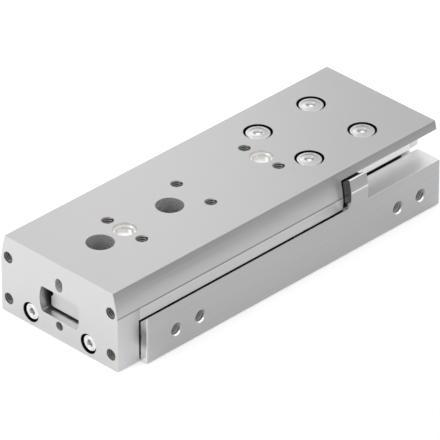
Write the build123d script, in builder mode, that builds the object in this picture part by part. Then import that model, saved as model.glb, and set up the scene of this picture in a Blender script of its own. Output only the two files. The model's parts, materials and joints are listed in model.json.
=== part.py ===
"""Pneumatic slide table: a twin-piston cylinder housing with a rail guide and an L-shaped table.

All sizes are in millimetres. +X is the way the table advances, +Z is up, and the origin lies
under the middle of the closed slide, on the face that it is mounted by.
"""
import os
from math import cos, floor, pi, sin

from build123d import *

os.makedirs("parts", exist_ok=True)

# The stack along the stroke, from the face of the yoke to the rear edge of the table
stroke = 50.0
yoke_thickness = 6.1
front_gap = 0.25
clip_thickness = 0.5
clip_inset = 0.5
bearing_length = 6.25
buffer_length = 2.0
buffer_gap = 0.2
piston_length = 20.0
end_plug_length = 4.0
rear_overhang = 2.0

# The housing
housing_width = 38.3
deck_height = 9.5
lip_rise = 1.65
lip_width = 1.95
channel_height = 6.6
rail_seat_height = 5.5
edge_break = 0.3

# The stops on both sides of the housing, the right one low, and the pockets behind them
stop_length = 5.1
stop_shoulder_drop = 4.0
stop_drop = 1.15
low_stop_drop = 3.5
stop_crest_inset = 0.6
stop_crest_width = 0.35
stop_fillet = 1.5
stop_gap = 0.2
pocket_length = 21.8
pocket_rise = 1.6

# The table
overall_height = 18.5
table_side_step = 2.1
flank_lean = 1.25
flank_drop = 5.8
flank_bulge = 0.1
pad_thickness = 3.6
wing_thickness = 2.0
yoke_ground_gap = 0.1

# The guide rail, its carriage and the balls between them
rail_width = 9.0
rail_height = 5.2
rail_setback = 2.2
rail_chamfer = 0.35
rail_hole_pitch = 20.0
carriage_width = 24.8
carriage_length = 41.1
carriage_inset = 0.95
flange_thickness = 3.4
flange_overhang = 2.4
end_cap_thickness = 2.6
end_cap_step = 0.15
end_seal_thickness = 0.5
end_seal_overhang = 3.2
end_seal_height = 5.3
end_seal_gap = 0.06
cap_screw_diameter = 1.6
cap_screw_head_diameter = 2.6
cap_screw_head_height = 0.9
cap_screw_length = 4.0
cap_screw_inset = 2.1
cap_screw_drop = 1.8
ball_diameter = 1.5
ball_height = 3.1
ball_pitch = 1.6
return_offset = 2.8

# The cylinders
bore_diameter = 4.5
bore_inset = 10.7
bore_height = 3.1
rod_diameter = 3.0
seat_diameter = 5.0
clip_groove_depth = 0.2
clip_width = 0.55
clip_opening = 1.8

# Holes that a machine builder uses
first_access_hole = 11.9
access_count = 2
rail_screw_count = 2
first_work_hole = 18.9
work_pitch = 20.0
work_count = 3
work_thread_spacing = 10.0
work_thread_depth = 5.0
centring_diameter = 5.0
centring_depth = 0.6
centring_core_diameter = 3.9
centring_core_depth = 1.3
yoke_thread_inset = 2.05
yoke_thread_spacing_z = 10.0
yoke_thread_height = 3.45
yoke_thread_depth = 5.0
dowel_diameter = 2.0
dowel_depth = 3.0
dowel_height = 3.5
dowel_slot_height = 13.35
dowel_slot_length = 3.1
port_height = 4.7
port_depth = 5.0
port_pitch = 6.9
front_port_inset = 8.4
rear_port_inset = 5.7
air_passage_diameter = 1.0
air_passage_height = 4.2
base_thread_spacing_x = 40.0
base_thread_inset = 5.15
base_thread_depth = 3.6
base_dowel_diameter = 3.0
base_dowel_depth = 3.0
base_dowel_slot = 4.0
sensor_diameter = 4.1
sensor_mouth = 2.9
sensor_drop = 2.8
sensor_slot_setback = 8.0

# Screws
m2_diameter = 2.0
m2_clearance_diameter = 2.2
m2_head_diameter = 3.7
m2_head_height = 1.6
m2_counterbore_diameter = 4.5
m2_counterbore_depth = 2.0
m2_engagement = 3.0
m2_socket = 1.2
m2_thread_depth = 3.4
m3_diameter = 3.0
m3_core_diameter = 2.5
m3_clearance_diameter = 3.4
m3_head_diameter = 5.5
m3_head_height = 2.9
m3_low_head_height = 2.0
m3_socket = 1.6
m4_core_diameter = 3.3
rail_counterbore_diameter = 6.0
rail_counterbore_depth = 3.2
rail_thread_floor = 0.8
table_counterbore_diameter = 6.3
table_counterbore_depth = 2.2
table_screw_spacing_x = 16.0
table_screw_spacing_y = 15.0
thread_chamfer = 0.3
table_thread_chamfer = 0.12
screw_end_gap = 0.4
socket_depth = 1.1

# Rubber parts
bumper_diameter = 6.6
bumper_thickness = 2.4
bumper_inset = 5.05
bumper_drop = 3.6
bumper_proud = 0.1
bumper_stem_diameter = 2.6
bumper_stem_length = 3.0
oring_section = 0.46
oring_groove_width = 0.7
rod_seal_length = 1.6
rod_seal_wall = 0.5
rod_seal_setback = 0.7
rod_seal_notch = 0.16
piston_seal_width = 1.2
piston_seal_wall = 0.7
piston_seal_setback = 2.0
buffer_wall = 0.45
magnet_length = 6.0
magnet_wall = 0.75
magnet_clearance = 0.08
piston_tail_length = 7.0
spigot_diameter = 1.8
spigot_end_gap = 1.5

# Clearances
running = 0.03
fit = 0.02
guide_gap = 0.45
carriage_gap = 0.4
table_gap = 0.3
rail_head_gap = 1.3
flange_gap = 0.3
window_side_gap = 0.6
window_bulge = 0.65
window_foot_gap = 0.55
window_head_gap = 0.3
window_corner = 0.35

# Stations along X
chamber_length = stroke + piston_length + 2 * (buffer_length + buffer_gap)
clip_zone = clip_inset + clip_thickness
housing_length = 2 * clip_zone + bearing_length + chamber_length + end_plug_length
table_length = yoke_thickness + front_gap + housing_length + rear_overhang
front_x = table_length / 2
rear_x = -table_length / 2
yoke_rear_x = front_x - yoke_thickness
housing_front_x = yoke_rear_x - front_gap
housing_rear_x = rear_x + rear_overhang
chamber_rear_x = housing_rear_x + clip_zone + end_plug_length
chamber_front_x = chamber_rear_x + chamber_length
piston_rear_x = chamber_rear_x + buffer_length + buffer_gap
piston_front_x = piston_rear_x + piston_length
stop_rear_x = housing_rear_x + pocket_length
stop_front_x = stop_rear_x + stop_length
table_wall_rear_x = stop_front_x + stop_gap
rail_front_x = front_x - rail_setback
rail_length = rail_front_x - housing_rear_x
block_length = carriage_length - 2 * (end_cap_thickness + end_seal_thickness)
carriage_x = rear_x + carriage_inset + carriage_length / 2
carriage_front_x = carriage_x + carriage_length / 2
recess_front_x = carriage_front_x + carriage_gap
access_x = [front_x - first_access_hole - n * rail_hole_pitch for n in range(access_count)]
rail_screw_x = [access_x[-1] - (n + 1) * rail_hole_pitch for n in range(rail_screw_count)]
work_x = [front_x - first_work_hole - n * work_pitch for n in range(work_count)]
front_port_x = housing_front_x - front_port_inset
rear_port_x = housing_rear_x + rear_port_inset

# Heights that follow from the sizes above
lip_height = deck_height + lip_rise
pocket_height = deck_height + pocket_rise
bumper_height = deck_height - bumper_drop
sensor_height = deck_height - sensor_drop
stop_height = overall_height - stop_drop
stop_shoulder_height = overall_height - stop_shoulder_drop
low_stop_height = overall_height - low_stop_drop
flank_height = overall_height - flank_drop
wall_foot_height = deck_height + table_gap
pad_height = overall_height - pad_thickness
wing_height = overall_height - wing_thickness
rail_top = rail_seat_height + rail_height
table_underside = rail_top + rail_head_gap
table_thickness = overall_height - table_underside
flange_foot = pad_height - flange_thickness
cap_screw_height = pad_height - cap_screw_drop
leg_foot = channel_height + carriage_gap
ball_z = rail_seat_height + ball_height

# Widths that follow from the sizes above
deck_width = housing_width - 2 * lip_width
table_width = housing_width - 2 * table_side_step
table_top_width = table_width - 2 * flank_lean
bore_spacing = housing_width - 2 * bore_inset
bumper_spacing = housing_width - 2 * bumper_inset
base_thread_spacing_y = housing_width - 2 * base_thread_inset
yoke_thread_spacing_y = table_width - 2 * yoke_thread_inset
leg_width = carriage_width - 2 * flange_overhang
cap_screw_spacing = carriage_width - 2 * cap_screw_inset
end_seal_width = rail_width + 2 * end_seal_overhang
ball_y = rail_width / 2 + guide_gap / 2
return_y = ball_y + return_offset
turn_radius = return_offset / 2
groove_radius = ball_diameter / 2 + running
channel_width = leg_width + 2 * carriage_gap
pocket_width = carriage_width + 2 * carriage_gap
recess_width = carriage_width + 2 * flange_gap
m3_thread_diameter = m3_diameter + 2 * fit
sides = (("left", 1), ("right", -1))


def save(solid, name):
    """Label one finished sub-part and write it as its own STEP file."""
    solid.label = name
    export_step(solid, f"parts/{name}.step")


def flank_width(height):
    """Width of the table at a height on its leaning flank, taken along the chord."""
    share = (height - flank_height) / (overall_height - flank_height)
    return table_width + share * (table_top_width - table_width)


# The housing: three lengths of one extrusion, with the bores, ports and threads cut into it
with BuildPart() as housing:
    with BuildSketch(Plane.YZ.offset(stop_front_x)):
        with BuildLine():
            Polyline(
                (0, rail_seat_height), (0, 0), (housing_width / 2, 0),
                (housing_width / 2, lip_height), (deck_width / 2, deck_height),
                (channel_width / 2, deck_height), (channel_width / 2, channel_height),
                (rail_width / 2 + fit, channel_height), (rail_width / 2 + fit, rail_seat_height),
                close=True,
            )
        make_face()
        mirror(about=Plane.YZ)
    extrude(amount=housing_front_x - stop_front_x)
    tall_crest = [
        (housing_width / 2, stop_shoulder_height), (housing_width / 2 - stop_crest_inset, stop_height),
        (housing_width / 2 - stop_crest_inset - stop_crest_width, stop_height),
        (flank_width(wing_height) / 2 + table_gap, wing_height - table_gap),
        (pocket_width / 2, wing_height - table_gap),
    ]
    low_crest = [(housing_width / 2, low_stop_height), (pocket_width / 2, low_stop_height)]
    with BuildSketch(Plane.YZ.offset(stop_rear_x)):
        for sign, crest in ((1, tall_crest), (-1, low_crest)):
            with BuildLine():
                Polyline(*[(sign * y, z) for y, z in [
                    (0, rail_seat_height), (0, 0), (housing_width / 2, 0), *crest,
                    (pocket_width / 2, deck_height),
                    (channel_width / 2, deck_height), (channel_width / 2, channel_height),
                    (rail_width / 2 + fit, channel_height), (rail_width / 2 + fit, rail_seat_height),
                ]], close=True)
            make_face()
    extrude(amount=stop_length)
    with BuildSketch(Plane.YZ.offset(housing_rear_x)):
        with BuildLine():
            Polyline(
                (0, rail_seat_height), (0, 0), (housing_width / 2, 0),
                (housing_width / 2, pocket_height), (pocket_width / 2, pocket_height),
                (pocket_width / 2, deck_height),
                (channel_width / 2, deck_height), (channel_width / 2, channel_height),
                (rail_width / 2 + fit, channel_height), (rail_width / 2 + fit, rail_seat_height),
                close=True,
            )
        make_face()
        mirror(about=Plane.YZ)
    extrude(amount=pocket_length)

    # The lip runs into the face of each stop with a fillet, and the outer edges are broken
    lip_middle_y = (housing_width + deck_width) / 4
    lip_middle_z = (lip_height + deck_height) / 2
    lip_ends = [housing.edges().sort_by_distance((stop_front_x, sign * lip_middle_y, lip_middle_z))[0]
                for side, sign in sides]
    fillet(lip_ends, radius=stop_fillet)
    with BuildSketch(Plane.XY.offset(deck_height)):
        with Locations((stop_front_x, 0)):
            Rectangle(2 * stop_fillet, deck_width, align=(Align.MIN, Align.CENTER))
    extrude(amount=overall_height - deck_height, mode=Mode.SUBTRACT)
    chamfer(housing.faces().sort_by(Axis.Z)[0].edges(), length=edge_break)
    front_corners = housing.faces().sort_by(Axis.X)[-1].edges().filter_by(Axis.Z).sort_by(Axis.Y)
    chamfer([front_corners[0], front_corners[-1]], length=edge_break)

    # Two cylinder bores, wider at both ends for the rod bearing and the end plug
    with BuildSketch(Plane.YZ.offset(housing_rear_x)):
        with Locations((-bore_spacing / 2, bore_height), (bore_spacing / 2, bore_height)):
            Circle(bore_diameter / 2)
    extrude(amount=housing_length, mode=Mode.SUBTRACT)
    with BuildSketch(Plane.YZ.offset(housing_rear_x)):
        with Locations((-bore_spacing / 2, bore_height), (bore_spacing / 2, bore_height)):
            Circle(seat_diameter / 2)
    extrude(amount=chamber_rear_x - housing_rear_x, mode=Mode.SUBTRACT)
    with BuildSketch(Plane.YZ.offset(chamber_front_x)):
        with Locations((-bore_spacing / 2, bore_height), (bore_spacing / 2, bore_height)):
            Circle(seat_diameter / 2)
    extrude(amount=housing_front_x - chamber_front_x, mode=Mode.SUBTRACT)
    for groove_x in (housing_rear_x + clip_inset, housing_front_x - clip_zone):
        with BuildSketch(Plane.YZ.offset(groove_x)):
            with Locations((-bore_spacing / 2, bore_height), (bore_spacing / 2, bore_height)):
                Circle(seat_diameter / 2 + clip_groove_depth)
        extrude(amount=clip_thickness, mode=Mode.SUBTRACT)

    # Seats of the two rubber bumpers in the front face
    with BuildSketch(Plane.YZ.offset(housing_front_x)):
        with Locations((-bumper_spacing / 2, bumper_height), (bumper_spacing / 2, bumper_height)):
            Circle(bumper_diameter / 2)
    extrude(amount=-bumper_thickness, mode=Mode.SUBTRACT)
    with BuildSketch(Plane.YZ.offset(housing_front_x - bumper_thickness)):
        with Locations((-bumper_spacing / 2, bumper_height), (bumper_spacing / 2, bumper_height)):
            Circle(bumper_stem_diameter / 2)
    extrude(amount=-bumper_stem_length, mode=Mode.SUBTRACT)

    # Threaded air ports and fixing threads in the left side
    left_side = Plane(origin=(0, housing_width / 2, 0), x_dir=(-1, 0, 0), z_dir=(0, 1, 0))
    with Locations(left_side):
        with Locations(*[(-x, port_height) for x in (
            front_port_x, front_port_x - port_pitch, rear_port_x, rear_port_x + port_pitch)]):
            CounterSinkHole(m3_core_diameter / 2, m3_core_diameter / 2 + thread_chamfer, depth=port_depth)

    # Each outer port feeds both bores through one cross drilling
    with BuildSketch(Plane.XZ.offset(bore_spacing / 2)):
        with Locations((front_port_x, air_passage_height), (rear_port_x, air_passage_height)):
            Circle(air_passage_diameter / 2)
    extrude(amount=-bore_spacing / 2 - housing_width / 2 + port_depth, mode=Mode.SUBTRACT)

    # Sensor slot in the right side, open at the rear
    slot_y = -housing_width / 2 + sensor_diameter / 2 + edge_break
    with BuildSketch(Plane.YZ.offset(housing_rear_x)):
        with Locations((slot_y, sensor_height)):
            Circle(sensor_diameter / 2)
        with Locations((-housing_width / 2, sensor_height)):
            Rectangle(sensor_diameter, sensor_mouth)
    extrude(amount=housing_length - sensor_slot_setback, mode=Mode.SUBTRACT)

    # Screw holes on the centre line: two go through for mounting, two hold the rail
    with Locations(*[(x, 0, rail_seat_height) for x in access_x]):
        Hole(m4_core_diameter / 2)
    with Locations(*[(x, 0, rail_seat_height) for x in rail_screw_x]):
        Hole(m3_thread_diameter / 2, depth=rail_seat_height - rail_thread_floor)

    # Threads and dowel holes in the base
    base = Plane(origin=(0, 0, 0), x_dir=(1, 0, 0), z_dir=(0, 0, -1))
    with Locations(base):
        with Locations(((access_x[1] + rail_screw_x[1]) / 2, 0)):
            with GridLocations(base_thread_spacing_x, base_thread_spacing_y, 2, 2):
                CounterSinkHole(m3_core_diameter / 2, m3_core_diameter / 2 + thread_chamfer,
                                depth=base_thread_depth)
        with Locations(((access_x[0] + access_x[1]) / 2, 0)):
            Hole(base_dowel_diameter / 2, depth=base_dowel_depth)
    with BuildSketch(base):
        with Locations(((rail_screw_x[0] + rail_screw_x[1]) / 2, 0)):
            SlotOverall(base_dowel_slot, base_dowel_diameter)
    extrude(amount=-base_dowel_depth, mode=Mode.SUBTRACT)
save(housing.part, "housing")

# The table and its yoke are one piece: a plate with leaning flanks, two side walls and the yoke
with BuildPart() as slide_table:
    with BuildSketch(Plane.YZ.offset(yoke_rear_x)):
        with BuildLine():
            Polyline(
                (table_top_width / 2, overall_height), (0, overall_height), (0, yoke_ground_gap),
                (table_width / 2, yoke_ground_gap), (table_width / 2, flank_height),
            )
            SagittaArc((table_width / 2, flank_height), (table_top_width / 2, overall_height), -flank_bulge)
        make_face()
        mirror(about=Plane.YZ)
    extrude(amount=yoke_thickness)
    with BuildSketch(Plane.YZ.offset(table_wall_rear_x)):
        with BuildLine():
            Polyline(
                (table_top_width / 2, overall_height), (0, overall_height), (0, table_underside),
                (recess_width / 2, table_underside), (recess_width / 2, wall_foot_height),
                (table_width / 2, wall_foot_height), (table_width / 2, flank_height),
            )
            SagittaArc((table_width / 2, flank_height), (table_top_width / 2, overall_height), -flank_bulge)
        make_face()
        mirror(about=Plane.YZ)
    extrude(amount=yoke_rear_x - table_wall_rear_x)
    with BuildSketch(Plane.YZ.offset(rear_x)):
        with BuildLine():
            Polyline(
                (table_top_width / 2, overall_height), (0, overall_height), (0, flank_height),
                (table_width / 2, flank_height),
            )
            SagittaArc((table_width / 2, flank_height), (table_top_width / 2, overall_height), -flank_bulge)
        make_face()
        mirror(about=Plane.YZ)
        with Locations((0, flank_height)):
            Rectangle(table_width, wing_height - flank_height, align=(Align.CENTER, Align.MIN),
                      mode=Mode.SUBTRACT)
        with Locations((0, pad_height)):
            Rectangle(carriage_width, wing_thickness, align=(Align.CENTER, Align.MIN))
    extrude(amount=table_wall_rear_x - rear_x)

    # Recess for the carriage
    with BuildSketch(Plane.YZ.offset(table_wall_rear_x)):
        with Locations((0, pad_height)):
            Rectangle(recess_width, pad_height, align=(Align.CENTER, Align.MAX))
    extrude(amount=recess_front_x - table_wall_rear_x, mode=Mode.SUBTRACT)

    # Window in the yoke that the rail looks through
    with BuildSketch(Plane.YZ.offset(yoke_rear_x)):
        with BuildLine():
            window_y = rail_width / 2 + window_side_gap
            window_foot = rail_seat_height - window_foot_gap
            window_head = rail_top + window_head_gap
            Line((window_y, window_head), (-window_y, window_head))
            SagittaArc((-window_y, window_head), (-window_y, window_foot), -window_bulge)
            Line((-window_y, window_foot), (window_y, window_foot))
            SagittaArc((window_y, window_foot), (window_y, window_head), -window_bulge)
        make_face()
        fillet(vertices(), radius=window_corner)
    extrude(amount=yoke_thickness, mode=Mode.SUBTRACT)

    # Holes in the top face
    with Locations(*[(x, 0, overall_height) for x in access_x]):
        Hole(rail_counterbore_diameter / 2, depth=table_thickness)
    with Locations((carriage_x, 0, overall_height)):
        with GridLocations(table_screw_spacing_x, table_screw_spacing_y, 2, 2):
            CounterBoreHole(m3_clearance_diameter / 2, table_counterbore_diameter / 2,
                            table_counterbore_depth, depth=pad_thickness)
    with Locations((work_x[0], 0, overall_height), (work_x[-1], 0, overall_height)):
        CounterBoreHole(centring_core_diameter / 2, centring_diameter / 2, centring_depth,
                        depth=centring_core_depth)
    for x in work_x:
        free_depth = table_thickness if x > recess_front_x else pad_thickness
        with Locations((x, 0, overall_height)):
            with GridLocations(0, work_thread_spacing, 1, 2):
                CounterSinkHole(m3_core_diameter / 2, m3_core_diameter / 2 + table_thread_chamfer,
                                depth=min(work_thread_depth, free_depth - screw_end_gap))

    # Holes in the face of the yoke
    yoke_face = Plane(origin=(front_x, 0, 0), x_dir=(0, 1, 0), z_dir=(1, 0, 0))
    with Locations(yoke_face):
        with Locations((0, yoke_thread_height + yoke_thread_spacing_z / 2)):
            with GridLocations(yoke_thread_spacing_y, yoke_thread_spacing_z, 2, 2):
                CounterSinkHole(m3_core_diameter / 2, m3_core_diameter / 2 + table_thread_chamfer,
                                depth=yoke_thread_depth)
        with Locations((0, bore_height)):
            with GridLocations(bore_spacing, 0, 2, 1):
                CounterBoreHole(m2_clearance_diameter / 2, m2_counterbore_diameter / 2,
                                m2_counterbore_depth, depth=yoke_thickness)
        with Locations((0, dowel_height)):
            Hole(dowel_diameter / 2, depth=dowel_depth)
    with BuildSketch(yoke_face):
        with Locations((0, dowel_slot_height)):
            SlotOverall(dowel_slot_length, dowel_diameter, rotation=90)
    extrude(amount=-dowel_depth, mode=Mode.SUBTRACT)
save(slide_table.part, "slide_table")

# The guide rail: a ground bar with one ball groove along each side
with BuildPart() as guide_rail:
    with BuildSketch(Plane.YZ.offset(housing_rear_x)):
        with Locations((0, rail_seat_height)):
            Rectangle(rail_width, rail_height, align=(Align.CENTER, Align.MIN))
        chamfer(vertices(), length=rail_chamfer)
        with Locations((-ball_y, ball_z), (ball_y, ball_z)):
            Circle(groove_radius, mode=Mode.SUBTRACT)
    extrude(amount=rail_length)
    with Locations(*[(x, 0, rail_top) for x in access_x + rail_screw_x]):
        CounterBoreHole(m3_clearance_diameter / 2, rail_counterbore_diameter / 2, rail_counterbore_depth)
save(guide_rail.part, "guide_rail")

# The carriage block straddles the rail and carries the balls back through two drillings
with BuildPart() as guide_carriage:
    with BuildSketch(Plane.YZ.offset(carriage_x - block_length / 2)):
        with Locations((0, pad_height)):
            Rectangle(carriage_width, flange_thickness, align=(Align.CENTER, Align.MAX))
        with Locations((0, leg_foot)):
            Rectangle(leg_width, pad_height - leg_foot, align=(Align.CENTER, Align.MIN))
        with Locations((0, leg_foot)):
            Rectangle(rail_width + 2 * guide_gap, rail_top + guide_gap - leg_foot,
                      align=(Align.CENTER, Align.MIN), mode=Mode.SUBTRACT)
        with Locations((-ball_y, ball_z), (ball_y, ball_z), (-return_y, ball_z), (return_y, ball_z)):
            Circle(groove_radius, mode=Mode.SUBTRACT)
    extrude(amount=block_length)
    with Locations((carriage_x, 0, pad_height)):
        with GridLocations(table_screw_spacing_x, table_screw_spacing_y, 2, 2):
            Hole(m3_thread_diameter / 2, depth=flange_thickness)
    for way in (1, -1):
        with BuildSketch(Plane.YZ.offset(carriage_x + way * block_length / 2)):
            with Locations((0, cap_screw_height)):
                with GridLocations(cap_screw_spacing, 0, 2, 1):
                    Circle(cap_screw_diameter / 2 + fit)
        extrude(amount=-way * cap_screw_length, mode=Mode.SUBTRACT)
save(guide_carriage.part, "guide_carriage")

# Plastic end caps turn each row of balls round, and a rubber seal on each wipes the rail
for end, way in (("front", 1), ("rear", -1)):
    block_end_x = carriage_x + way * block_length / 2
    cap_end_x = block_end_x + way * end_cap_thickness
    with BuildPart() as end_cap:
        with BuildSketch(Plane.YZ.offset(block_end_x)):
            with Locations((0, pad_height - end_cap_step)):
                Rectangle(carriage_width - 2 * end_cap_step, flange_thickness - 2 * end_cap_step,
                          align=(Align.CENTER, Align.MAX))
            with Locations((0, leg_foot + end_cap_step)):
                Rectangle(leg_width - 2 * end_cap_step, pad_height - leg_foot - 2 * end_cap_step,
                          align=(Align.CENTER, Align.MIN))
            with Locations((0, leg_foot)):
                Rectangle(rail_width + 2 * guide_gap, rail_top + guide_gap - leg_foot,
                          align=(Align.CENTER, Align.MIN), mode=Mode.SUBTRACT)
        extrude(amount=way * end_cap_thickness)
        chamfer(end_cap.faces().sort_by(Axis.X)[-1 if way > 0 else 0].outer_wire().edges().filter_by(Axis.Y),
                length=edge_break)
        for side, sign in sides:
            turn_y = sign * (ball_y + return_y) / 2
            with BuildSketch(Plane(origin=(block_end_x, turn_y, ball_z), x_dir=(0, 1, 0), z_dir=(1, 0, 0))):
                with Locations((turn_radius, 0)):
                    Circle(groove_radius)
            revolve(axis=Axis((block_end_x, turn_y, ball_z), (0, 0, 1)), revolution_arc=360,
                    mode=Mode.SUBTRACT)
        with BuildSketch(Plane.YZ.offset(cap_end_x)):
            with Locations((0, cap_screw_height)):
                with GridLocations(cap_screw_spacing, 0, 2, 1):
                    Circle(cap_screw_diameter / 2 + fit)
        extrude(amount=-way * end_cap_thickness, mode=Mode.SUBTRACT)
        with BuildSketch(Plane.YZ.offset(cap_end_x)):
            with Locations((0, cap_screw_height)):
                with GridLocations(cap_screw_spacing, 0, 2, 1):
                    Circle(cap_screw_head_diameter / 2 + fit)
        extrude(amount=-way * cap_screw_head_height, mode=Mode.SUBTRACT)
    save(end_cap.part, f"end_cap_{end}")

    with BuildPart() as end_seal:
        with BuildSketch(Plane.YZ.offset(cap_end_x)):
            with Locations((0, leg_foot + end_cap_step)):
                Rectangle(end_seal_width, end_seal_height, align=(Align.CENTER, Align.MIN))
            with Locations((0, rail_seat_height)):
                Rectangle(rail_width + 2 * end_seal_gap, rail_height + end_seal_gap,
                          align=(Align.CENTER, Align.MIN), mode=Mode.SUBTRACT)
            with Locations((-ball_y, ball_z), (ball_y, ball_z)):
                Circle(groove_radius - 2 * end_seal_gap)
        extrude(amount=way * end_seal_thickness)
    save(end_seal.part, f"end_seal_{end}")

with BuildPart() as end_cap_screws:
    for way in (1, -1):
        head_x = carriage_x + way * (block_length / 2 + end_cap_thickness)
        with BuildSketch(Plane.YZ.offset(head_x)):
            with Locations((0, cap_screw_height)):
                with GridLocations(cap_screw_spacing, 0, 2, 1):
                    Circle(cap_screw_head_diameter / 2)
        extrude(amount=-way * cap_screw_head_height)
        with BuildSketch(Plane.YZ.offset(head_x - way * cap_screw_head_height)):
            with Locations((0, cap_screw_height)):
                with GridLocations(cap_screw_spacing, 0, 2, 1):
                    Circle(cap_screw_diameter / 2)
        extrude(amount=-way * cap_screw_length)
save(end_cap_screws.part, "end_cap_screws")


def circuit_point(distance, sign):
    """Centre of the ball that lies this far round one circuit from the middle of its loaded run."""
    half_run = block_length / 2
    half_turn = pi * turn_radius
    middle_y = (ball_y + return_y) / 2
    if distance < half_run:
        x, y = distance, ball_y
    elif distance < half_run + half_turn:
        angle = (distance - half_run) / turn_radius
        x, y = half_run + turn_radius * sin(angle), middle_y - turn_radius * cos(angle)
    elif distance < 3 * half_run + half_turn:
        x, y = 2 * half_run + half_turn - distance, return_y
    elif distance < 3 * half_run + 2 * half_turn:
        angle = (distance - 3 * half_run - half_turn) / turn_radius
        x, y = -half_run - turn_radius * sin(angle), middle_y + turn_radius * cos(angle)
    else:
        x, y = distance - 4 * half_run - 2 * half_turn, ball_y
    return carriage_x + x, sign * y, ball_z


# Two closed circuits of balls: loaded along the rail, and back through the block
circuit_length = 2 * block_length + 2 * pi * turn_radius
ball_count = floor(circuit_length / ball_pitch)
for side, sign in sides:
    with BuildPart() as ball_circuit:
        with Locations(*[circuit_point(n * circuit_length / ball_count, sign) for n in range(ball_count)]):
            Sphere(ball_diameter / 2)
    save(ball_circuit.part, f"ball_circuit_{side}")

# Screws, plain where the thread is
with BuildPart() as rail_screws:
    screw_seat = rail_top - rail_counterbore_depth
    with BuildSketch(Plane.XY.offset(screw_seat)):
        with Locations(*[(x, 0) for x in rail_screw_x]):
            Circle(m3_head_diameter / 2)
    extrude(amount=m3_head_height)
    with BuildSketch(Plane.XY.offset(screw_seat)):
        with Locations(*[(x, 0) for x in rail_screw_x]):
            Circle(m3_diameter / 2)
    extrude(amount=-(screw_seat - rail_thread_floor - screw_end_gap))
    with BuildSketch(Plane.XY.offset(screw_seat + m3_head_height)):
        with Locations(*[(x, 0) for x in rail_screw_x]):
            RegularPolygon(m3_socket / 2, 6, major_radius=False)
    extrude(amount=-socket_depth, mode=Mode.SUBTRACT)
save(rail_screws.part, "rail_screws")

with BuildPart() as table_screws:
    screw_seat = overall_height - table_counterbore_depth
    with BuildSketch(Plane.XY.offset(screw_seat)):
        with Locations((carriage_x, 0)):
            with GridLocations(table_screw_spacing_x, table_screw_spacing_y, 2, 2):
                Circle(m3_head_diameter / 2)
    extrude(amount=m3_low_head_height)
    chamfer(table_screws.faces().group_by(Axis.Z)[-1].edges(), length=edge_break / 2)
    with BuildSketch(Plane.XY.offset(screw_seat)):
        with Locations((carriage_x, 0)):
            with GridLocations(table_screw_spacing_x, table_screw_spacing_y, 2, 2):
                Circle(m3_diameter / 2)
    extrude(amount=-(screw_seat - flange_foot - screw_end_gap))
    with BuildSketch(Plane.XY.offset(screw_seat + m3_low_head_height)):
        with Locations((carriage_x, 0)):
            with GridLocations(table_screw_spacing_x, table_screw_spacing_y, 2, 2):
                RegularPolygon(m3_socket / 2, 6, major_radius=False)
    extrude(amount=-socket_depth, mode=Mode.SUBTRACT)
save(table_screws.part, "table_screws")

with BuildPart() as rod_screws:
    with BuildSketch(Plane.YZ.offset(front_x - m2_counterbore_depth)):
        with Locations((-bore_spacing / 2, bore_height), (bore_spacing / 2, bore_height)):
            Circle(m2_head_diameter / 2)
    extrude(amount=m2_head_height)
    chamfer(rod_screws.faces().group_by(Axis.X)[-1].edges(), length=edge_break / 2)
    with BuildSketch(Plane.YZ.offset(front_x - m2_counterbore_depth)):
        with Locations((-bore_spacing / 2, bore_height), (bore_spacing / 2, bore_height)):
            Circle(m2_diameter / 2)
    extrude(amount=-(yoke_thickness - m2_counterbore_depth + m2_engagement))
    with BuildSketch(Plane.YZ.offset(front_x - m2_counterbore_depth + m2_head_height)):
        with Locations((-bore_spacing / 2, bore_height), (bore_spacing / 2, bore_height)):
            RegularPolygon(m2_socket / 2, 6, major_radius=False)
    extrude(amount=-socket_depth, mode=Mode.SUBTRACT)
save(rod_screws.part, "rod_screws")

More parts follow.
